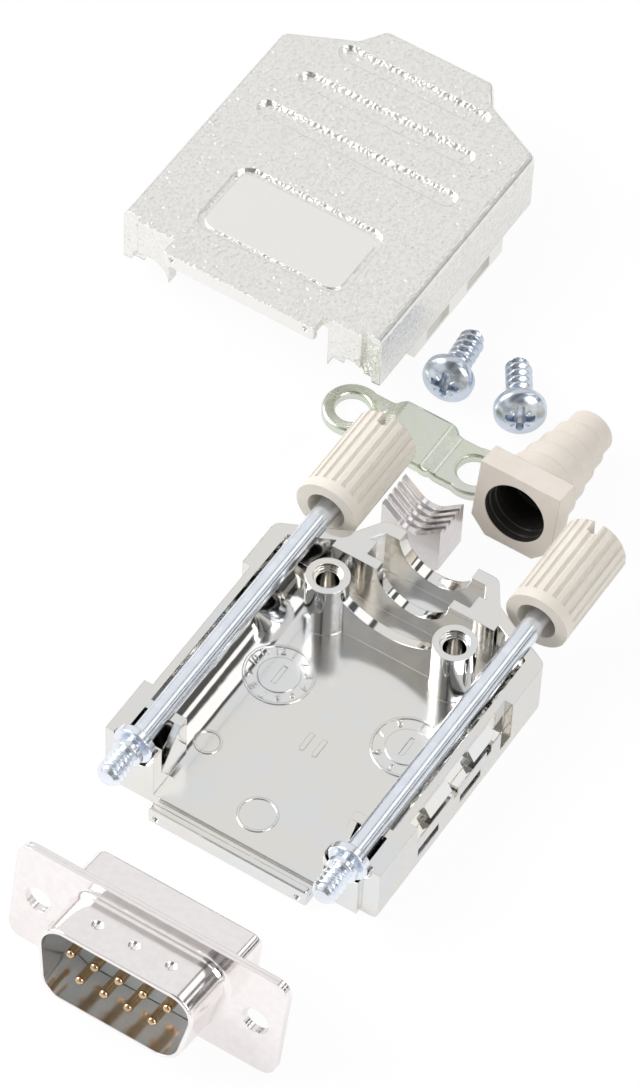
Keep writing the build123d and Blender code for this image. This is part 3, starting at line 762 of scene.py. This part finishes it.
def turned(radius: np.ndarray, along: np.ndarray) -> np.ndarray:
    """Surface of revolution about Z whose radius may also change round the axis.

    Point (i, j) is (r_ij cos t_j, r_ij sin t_j, z_ij), with t_j = 2 pi j / columns.

    Args:
        radius: array of rows by columns.
        along: heights, of the same shape or of rows by 1.

    Returns:
        Array of rows by columns by 3.
    """
    angle = np.linspace(0, 2 * math.pi, radius.shape[1], endpoint=False)
    along = np.broadcast_to(along, radius.shape)
    return np.stack([radius * np.cos(angle), radius * np.sin(angle), along], axis=-1)


def thread(along: np.ndarray, columns: int, pitch: float, flat: float) -> np.ndarray:
    """Right-handed thread as a share of its depth.

    The phase is t = z / pitch - angle / (2 pi), less its whole turns, and the height is
    (1 - |2 t - 1| - flat) / (1 - 2 flat), held between 0 and 1.

    Args:
        along: places of the rows along the axis.
        columns: number of columns round the axis.
        pitch: advance per turn.
        flat: share of the depth that is cut off at crest and root.

    Returns:
        Array of rows by columns from 0 at the root to 1 at the crest.
    """
    turn = np.arange(columns) / columns
    phase = (along[:, None] / pitch - turn[None, :]) % 1.0
    return np.clip((1 - np.abs(2 * phase - 1) - flat) / (1 - 2 * flat), 0, 1)


def about_x(points: np.ndarray, angle: float) -> np.ndarray:
    """Points turned about the X axis.

    Args:
        points: array that ends in 3.
        angle: angle in radians, from Y towards Z.

    Returns:
        The turned points.
    """
    return points @ np.array(Matrix.Rotation(angle, 3, "X")).T


def about_z(points: np.ndarray, angle: float) -> np.ndarray:
    """Points turned about the Z axis.

    Args:
        points: array that ends in 3.
        angle: angle in radians, from X towards Y.

    Returns:
        The turned points.
    """
    return points @ np.array(Matrix.Rotation(angle, 3, "Z")).T


def numeral(text: str, size: float, thick: float) -> tuple[np.ndarray, np.ndarray]:
    """Raised figure of one or two digits, centred on the origin and facing up.

    Args:
        text: the digits.
        size: height of the type in metres.
        thick: thickness in metres, half of it above the origin.

    Returns:
        Its vertices and its triangles.
    """
    curve = bpy.data.curves.new("figure", "FONT")
    curve.body = text
    curve.size = size
    curve.extrude = thick / 2
    curve.align_x = "CENTER"
    curve.align_y = "CENTER"
    curve.resolution_u = 3
    holder = bpy.data.objects.new("figure", curve)
    bpy.context.collection.objects.link(holder)
    bpy.context.view_layer.update()
    mesh = bpy.data.meshes.new_from_object(holder)
    mesh.calc_loop_triangles()
    vertices = np.zeros(3 * len(mesh.vertices))
    mesh.vertices.foreach_get("co", vertices)
    triangles = np.zeros(3 * len(mesh.loop_triangles), int)
    mesh.loop_triangles.foreach_get("vertices", triangles)
    bpy.data.objects.remove(holder)
    bpy.data.curves.remove(curve)
    bpy.data.meshes.remove(mesh)
    return vertices.reshape(-1, 3), triangles.reshape(-1, 3)


def joined(name: str, parts: Sequence[tuple[np.ndarray, np.ndarray]]) -> bpy.types.Object:
    """One object from several sets of vertices and triangles.

    Args:
        name: name of the piece.
        parts: pairs of vertices and triangles.

    Returns:
        The object.
    """
    shifts = np.cumsum([0] + [len(vertices) for vertices, _ in parts[:-1]])
    vertices = np.concatenate([vertices for vertices, _ in parts])
    triangles = np.concatenate([faces + shift for (_, faces), shift in zip(parts, shifts)])
    return solid(name, vertices, [triangles], sharp=30.0)



@dataclass
class Piece:
    frame: dict
    finishes: dict[str, bpy.types.Material]

    def dress(self, node: str, slot: str) -> None:
        """Put a finish on a solid of the frame.

        Args:
            node: name of the solid.
            slot: name of the finish.
        """
        mesh = self.frame["nodes"][node].data
        mesh.materials.clear()
        mesh.materials.append(self.finishes[slot])
        LOG.info("dressed %s in %s", node, slot)

    def add(
        self, made: bpy.types.Object, slot: str, body: str = "root", stands_for: Sequence[str] = ()
    ) -> None:
        """Hand a new piece to the frame.

        Args:
            made: the piece, in its place.
            slot: name of its finish.
            body: the body that it rides on.
            stands_for: solids that it is shown in place of.
        """
        made.data.materials.clear()
        made.data.materials.append(self.finishes[slot])
        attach(made, body)
        if stands_for:
            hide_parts(*stands_for)
        LOG.info("added %s, %d faces", made.name, len(made.data.polygons))

    def build(self) -> None:
        """Dress the group's solids and add its pieces."""
        raise NotImplementedError


@dataclass
class Cover(Piece):
    """Upper half shell, pebbled outside."""

    def build(self) -> None:
        """Dress the cover."""
        self.dress("upper_shell", "nickel_grained")


@dataclass
class Base(Piece):
    """Lower half shell with the raised figures of its mould dials."""

    floor: float = 1.4 * MM
    proud: float = 0.12 * MM
    size: float = 1.25 * MM
    ring: float = 2.95 * MM
    cove: float = 5.2 * MM
    cove_start: float = 8.95 * MM
    dials: tuple = ((-7.5 * MM, 19.2 * MM, 12, 1), (7.9 * MM, 18.8 * MM, 8, 1))

    def lift(self, across: np.ndarray) -> np.ndarray:
        """Height of the floor's cove, of radius R from the distance s off the middle.

        It is R - sqrt(R^2 - (|x| - s)^2) beyond s, and 0 before it.

        Args:
            across: places across the hood.

        Returns:
            Heights over the flat floor.
        """
        beyond = np.clip(np.abs(across) - self.cove_start, 0, self.cove)
        return self.cove - np.sqrt(self.cove**2 - beyond**2)

    def figures(self) -> bpy.types.Object:
        """Figures round both dials, each upright towards the dial's middle.

        Figure k stands at the angle 2 pi k / n, on a ring of radius `ring`, and follows the cove.

        Returns:
            The figures as one piece.
        """
        parts = []
        for x, y, count, first in self.dials:
            for k in range(count):
                vertices, faces = numeral(str(first + k), self.size, 2 * self.proud)
                angle = math.pi / 2 - 2 * math.pi * k / count
                vertices = about_z(vertices, angle - math.pi / 2)
                shift = (x + self.ring * math.cos(angle), y + self.ring * math.sin(angle), self.floor)
                vertices = vertices + np.array(shift)
                vertices[:, 2] += self.lift(vertices[:, 0])
                parts.append((vertices, faces))
        return joined("dial_figures", parts)

    def build(self) -> None:
        """Dress the base and add the dials' figures."""
        self.dress("lower_shell", "nickel_cast")
        self.add(self.figures(), "nickel_cast")


@dataclass
class Thumbscrew(Piece):
    """Captive thumbscrew: threaded rod with its collar, and ribbed knob."""

    side: Side = Side.LEFT
    pitch_half: float = 12.495 * MM
    axis_height: float = 7.4 * MM
    tip: float = -4.55 * MM
    thread_end: float = -1.5 * MM
    back: float = 45.0 * MM
    crest: float = 1.41 * MM
    root: float = 1.04 * MM
    lead: float = 0.635 * MM
    shank: float = 1.2 * MM
    columns: int = 72

    def rod_profile(self) -> tuple[np.ndarray, np.ndarray]:
        """Neck, collar and shank behind the thread, with eased edges.

        Returns:
            Places along the axis and radii, in metres.
        """
        steps = [
            (-1.50, 1.04), (-1.16, 1.04), (-1.15, 1.50), (-1.02, 1.64), (-0.47, 1.64), (-0.34, 1.50),
            (-0.33, 1.05), (0.04, 1.05), (0.05, 2.12), (0.17, 2.24), (0.93, 2.24), (1.05, 2.12),
            (1.06, 1.30), (1.16, 1.20), (44.9, 1.20), (45.0, 1.10),
        ]
        along, radius = np.array(steps).T * MM
        return along, radius

    def rod(self) -> bpy.types.Object:
        """Rod with its rolled thread.

        In the thread the radius is root + (crest - root) * thread, held under the chamfer
        crest - (y of chamfer end - y) near the tip, and faded out over the last half turn.

        Returns:
            The rod as one closed surface.
        """
        rows = np.linspace(self.tip, self.thread_end, int(20 * (self.thread_end - self.tip) / self.lead))
        shape = thread(rows, self.columns, self.lead, 0.14)
        fade = np.clip((self.thread_end - rows) / (0.5 * self.lead), 0, 1)[:, None]
        radius = self.root + (self.crest - self.root) * shape * fade
        chamfer = self.crest - 0.45 * MM + (rows - self.tip)[:, None]
        radius = np.minimum(radius, chamfer)
        along, plain = self.rod_profile()
        radius = np.concatenate([radius, np.repeat(plain[:, None], self.columns, axis=1)])
        points = turned(radius, np.concatenate([rows, along])[:, None])
        place = np.array([self.side.value * self.pitch_half, 0.0, self.axis_height])
        points = about_x(points, -math.pi / 2) + place
        return lattice(f"{self.side.word}_threaded_rod", points, sharp=35.0)

    def build(self) -> None:
        """Dress the knob and put the threaded rod in the plain rod's place."""
        self.dress(f"{self.side.word}_thumbscrew_knob", "beige_knob")
        self.dress(f"{self.side.word}_thumbscrew_rod", "zinc_steel")
        body = f"{self.side.word}_thumbscrew"
        self.add(self.rod(), "zinc_steel", body, [f"{self.side.word}_thumbscrew_rod"])


@dataclass
class TappingScrew(Piece):
    """Pan-head tapping screw with a cross recess, lying on its head's rim and last thread."""

    side: Side = Side.LEFT
    place: tuple[float, float] = (0.0, 0.0)
    turn: float = 0.0
    crest: float = 1.44 * MM
    root: float = 1.0 * MM
    length: float = 7.9 * MM
    tip_length: float = 1.3 * MM
    tip_radius: float = 0.5 * MM
    lead: float = 1.1 * MM
    head_radius: float = 2.8 * MM
    head_height: float = 2.0 * MM
    head_rim: float = 0.75 * MM
    wing: float = 0.62 * MM
    span: float = 3.2 * MM
    recess: float = 1.3 * MM
    columns: int = 144

    def shank(self) -> tuple[np.ndarray, np.ndarray]:
        """Threaded shank from the point to the head.

        The radius is root + (crest - root) * thread, and along the point it is scaled from
        tip_radius / crest to 1.

        Returns:
            Radii and heights, of rows by columns.
        """
        rows = np.linspace(-self.length, -0.1 * MM, 130)
        shape = thread(rows, self.columns, self.lead, 0.2) ** 1.3
        fade = np.clip((-0.1 * MM - rows) / (0.5 * self.lead), 0, 1)[:, None]
        radius = self.root + (self.crest - self.root) * shape * fade
        share = np.clip((rows + self.length) / self.tip_length, 0, 1)[:, None]
        start = self.tip_radius / self.crest
        radius = radius * (start + (1 - start) * share)
        return radius, np.repeat(rows[:, None], self.columns, axis=1)

    def cross(self, radius: np.ndarray, angle: np.ndarray) -> np.ndarray:
        """Depth of the cross recess and of the four small ticks between its wings.

        A wing is where |across| < wing / 2 and along < span / 2. Its depth falls off towards the
        walls as a smooth step and towards the end as 1 - 0.5 (2 along / span)^2.

        Args:
            radius: distance from the axis.
            angle: angle round the axis.

        Returns:
            Depth in metres.
        """
        depth = np.zeros_like(radius)
        for k in range(2):
            along = np.abs(radius * np.cos(angle - k * math.pi / 2))
            across = np.abs(radius * np.sin(angle - k * math.pi / 2))
            wall = np.clip((self.wing / 2 - across) / (0.14 * MM) + 0.5, 0, 1)
            end = np.clip((self.span / 2 - along) / (0.3 * MM), 0, 1)
            slope = 1 - 0.5 * np.clip(2 * along / self.span, 0, 1) ** 2
            depth = np.maximum(depth, self.recess * wall * end * slope)
        middle = np.clip((0.75 * MM - radius) / (0.2 * MM), 0, 1)
        depth = np.maximum(depth, self.recess * middle)
        for k in range(2):
            along = np.abs(radius * np.cos(angle - (k + 0.5) * math.pi / 2))
            across = np.abs(radius * np.sin(angle - (k + 0.5) * math.pi / 2))
            wall = np.clip((0.1 * MM - across) / (0.08 * MM) + 0.5, 0, 1)
            reach = np.clip((1.45 * MM - along) / (0.15 * MM), 0, 1)
            depth = np.maximum(depth, 0.14 * MM * wall * reach)
        return depth

    def head(self) -> tuple[np.ndarray, np.ndarray]:
        """Pan head: underside, rim and dome, sunk by the cross recess.

        The dome is z = rim + (height - rim) (1 - (r / R)^2)^0.6.

        Returns:
            Radii and heights, of rows by columns.
        """
        angle = np.linspace(0, 2 * math.pi, self.columns, endpoint=False)[None, :]
        under = np.array([1.02, 2.6, 2.76, 2.8, 2.8]) * MM
        under_z = np.array([-0.02, 0.0, 0.04, 0.12, 0.7]) * MM
        share = 1 - np.linspace(0.0, 1.0, 72) ** 1.15 * 0.985
        radius = (self.head_radius * share)[:, None] * np.ones((1, self.columns))
        dome = self.head_rim + (self.head_height - self.head_rim) * (1 - share[:, None] ** 2) ** 0.6
        height = dome - self.cross(radius, angle)
        radius = np.concatenate([np.repeat(under[:, None], self.columns, axis=1), radius])
        height = np.concatenate([np.repeat(under_z[:, None], self.columns, axis=1), height])
        return radius, height

    def screw(self) -> bpy.types.Object:
        """Whole screw, laid down as the solid it stands for.

        Returns:
            The screw as one closed surface.
        """
        radii, heights = zip(self.shank(), self.head())
        points = turned(np.concatenate(radii), np.concatenate(heights))
        last_crest = self.length - self.tip_length - self.lead / 2
        lean = math.atan((self.head_radius - 1.45 * MM) / last_crest)
        points = about_x(points, math.pi / 2 - lean)
        points = points + np.array([0.0, 0.0, self.head_radius * math.cos(lean)])
        points = about_z(points, math.radians(self.turn)) + np.array([*self.place, 0.0])
        return lattice(f"{self.side.word}_cross_screw", points, sharp=50.0)

    def build(self) -> None:
        """Put the full screw in the plain one's place."""
        node = f"{self.side.word}_clamp_screw"
        self.dress(node, "zinc_screw")
        self.add(self.screw(), "zinc_screw", stands_for=[node])


@dataclass
class ClampParts(Piece):
    """Clamp plate and the saddle that presses on the cable."""

    def build(self) -> None:
        """Dress both pieces."""
        self.dress("clamp_plate", "plated_plate")
        self.dress("clamp_insert", "nickel_insert")


@dataclass
class Bushing(Piece):
    """Stepped cable bushing."""

    def build(self) -> None:
        """Dress the bushing."""
        self.dress("cable_bushing", "beige_bushing")


@dataclass
class PinConnector(Piece):
    """Nine-way pin connector: two drawn shells, two insulators and the contacts."""

    contacts: int = 9

    def build(self) -> None:
        """Dress every piece of the connector."""
        self.dress("connector_front_shell", "bright_tin")
        self.dress("connector_rear_shell", "bright_tin")
        self.dress("front_insulator", "grey_insulator")
        self.dress("rear_insulator", "grey_insulator")
        for number in range(1, self.contacts + 1):
            self.dress(f"contact_pin_{number}", "gold_contact")


# Camera, light and bench


@dataclass
class Studio:
    """Pale bench under soft light, and the camera at the photograph's angle."""

    eye: tuple[float, float, float] = (0.172975, -0.281454, 0.480703)
    azimuth: float = 30.412
    elevation: float = 52.518
    roll: float = -2.802
    focal: float = 5910.71
    frame_long_side: float = 1087.0
    sensor: float = 36.0
    bench_half: float = 2.5
    bench_drop: float = 0.02 * MM
    bench_white: float = 0.94
    bench_mirrored: float = 0.7
    sky: float = 0.86
    horizon: float = 0.1
    tubes: tuple[tuple[float, float], ...] = ((12.0, 37.0), (51.0, 59.0), (78.0, 90.0))
    tube_gain: float = 1.5
    viewer: tuple[float, float, float] = (0.308, -0.525, 0.793)
    viewer_edge: tuple[float, float] = (0.74, 0.86)
    viewer_shade: float = 0.75
    aim: tuple[float, float, float] = (-0.01, 0.03, 0.0)

    def camera(self) -> bpy.types.Object:
        """Camera that looks along the fitted direction.

        Returns:
            The camera, set as the scene's.
        """
        a, e, r = (math.radians(angle) for angle in (self.azimuth, self.elevation, self.roll))
        right = Vector((math.cos(a), math.sin(a), 0.0))
        up = Vector((-math.sin(a) * math.sin(e), math.cos(a) * math.sin(e), math.cos(e)))
        back = right.cross(up)
        across = math.cos(r) * right - math.sin(r) * up
        upward = math.sin(r) * right + math.cos(r) * up
        data = bpy.data.cameras.new("camera")
        data.sensor_width = self.sensor
        data.lens = self.focal * self.sensor / self.frame_long_side
        data.clip_start = 0.01
        data.clip_end = 20.0
        made = bpy.data.objects.new("camera", data)
        facing = Matrix((across, upward, back)).transposed().to_4x4()
        made.matrix_world = Matrix.Translation(self.eye) @ facing
        bpy.context.collection.objects.link(made)
        bpy.context.scene.camera = made
        return made

    def seen(self, graph: Graph, glossy: float = 0.0) -> Value:
        """Mask of the rays that see the backdrop as plain white.

        Args:
            graph: graph of the floor or of the world.
            glossy: share of white that mirrored rays see.

        Returns:
            1 for camera rays and for rays through glass, and less for the others.
        """
        path = graph.node("ShaderNodeLightPath")
        camera = Value(graph, path.outputs["Is Camera Ray"])
        clear = camera.above(Value(graph, path.outputs["Is Transmission Ray"]))
        return clear.above(Value(graph, path.outputs["Is Glossy Ray"]) * glossy)

    def bench(self) -> bpy.types.Object:
        """Returns:
            The bench.
        """
        half = self.bench_half
        corners = np.array([[-half, -half], [half, -half], [half, half], [-half, half]])
        vertices = np.column_stack([corners, np.full(4, -self.bench_drop)])
        made = solid("bench_top", vertices, [np.array([[0, 1, 2, 3]])])
        paint = bpy.data.materials.new("bench_white")
        graph = Graph(paint)
        cloud = graph.noise(0.12, detail=3.0)
        colour = graph.blend(cloud.rise(0.3, 0.7), (0.86, 0.86, 0.86), (0.9, 0.9, 0.9))
        matt = graph.node("ShaderNodeBsdfDiffuse", inputs={"Color": colour})
        white = graph.node("ShaderNodeEmission", inputs={"Color": (1.0, 1.0, 1.0), "Strength": 1.0})
        share = self.seen(graph, glossy=self.bench_mirrored) * self.bench_white
        layers = {0: share, 1: matt.outputs[0], 2: white.outputs[0]}
        mixed = graph.node("ShaderNodeMixShader", inputs=layers)
        graph.node("ShaderNodeOutputMaterial", inputs={"Surface": mixed.outputs[0]})
        made.data.materials.append(paint)
        return made

    def sky_light(self) -> None:
        """World that is white to the camera and a soft studio to everything else.

        To the left it is one bright panel. To the right it is dark but for long tubes that run
        with Y, which draw the stripes that polished metal shows. The side of the viewer is dark.
        """
        world = bpy.data.worlds.new("studio")
        bpy.context.scene.world = world
        graph = Graph(world)
        ray = graph.node("ShaderNodeTexCoord").outputs["Generated"]
        x, y, z = graph.axes(ray)
        slant = x.lean(z)
        tubes = slant.rise(5.0, 1.0)
        for low, high in self.tubes:
            tubes = tubes.above(slant.band(low, high, 2.0) * self.tube_gain)
        near = x * self.viewer[0] + y * self.viewer[1] + z * self.viewer[2]
        level = tubes * z.rise(0.0, 0.15) * (self.sky - self.horizon) + self.horizon
        level = level * (1.0 - near.rise(*self.viewer_edge) * self.viewer_shade)
        lit = graph.node("ShaderNodeBackground", inputs={"Color": (1.0, 1.0, 1.0), "Strength": level})
        plain = graph.node("ShaderNodeBackground", inputs={"Color": (1.0, 1.0, 1.0), "Strength": 1.0})
        layers = {0: self.seen(graph), 1: lit.outputs[0], 2: plain.outputs[0]}
        mixed = graph.node("ShaderNodeMixShader", inputs=layers)
        graph.node("ShaderNodeOutputWorld", inputs={"Surface": mixed.outputs[0]})

    def lamp(self, name: str, place: tuple, size: float, watts: float) -> None:
        """Args:
            name: name of the lamp.
            place: where it stands, in metres.
            size: length of its side.
            watts: its power.
        """
        data = bpy.data.lights.new(name, "AREA")
        data.size = size
        data.energy = watts
        made = bpy.data.objects.new(name, data)
        made.location = place
        made.rotation_euler = (Vector(self.aim) - Vector(place)).to_track_quat("-Z", "Y").to_euler()
        bpy.context.collection.objects.link(made)

    def build(self) -> None:
        """Set up camera, bench, world and lamps."""
        self.camera()
        self.bench()
        self.sky_light()
        self.lamp("key_light", (-0.8, -0.25, 0.6), size=0.7, watts=9.0)
        self.lamp("fill_light", (0.75, -0.15, 0.55), size=0.5, watts=3.2)
        bpy.context.scene.view_settings.view_transform = "Standard"
        LOG.info("studio ready")


def main() -> None:
    """Load the frame, dress it, add the pieces and set up the studio."""
    logging.basicConfig(level=logging.INFO, format="%(name)s: %(message)s")
    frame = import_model()
    palette = Palette()
    finishes = {slot: getattr(palette, slot).material() for slot in palette.__dataclass_fields__}
    groups: list[Piece] = [
        Cover(frame, finishes),
        Base(frame, finishes),
        Thumbscrew(frame, finishes, side=Side.LEFT),
        Thumbscrew(frame, finishes, side=Side.RIGHT),
        TappingScrew(frame, finishes, side=Side.LEFT, place=(-13.2 * MM, 60.8 * MM), turn=10.0),
        TappingScrew(frame, finishes, side=Side.RIGHT, place=(-4.9 * MM, 61.2 * MM), turn=32.0),
        ClampParts(frame, finishes),
        Bushing(frame, finishes),
        PinConnector(frame, finishes),
    ]
    for group in groups:
        group.build()
        LOG.info("built %s", type(group).__name__)
    Studio().build()


if __name__ == "__main__":
    main()
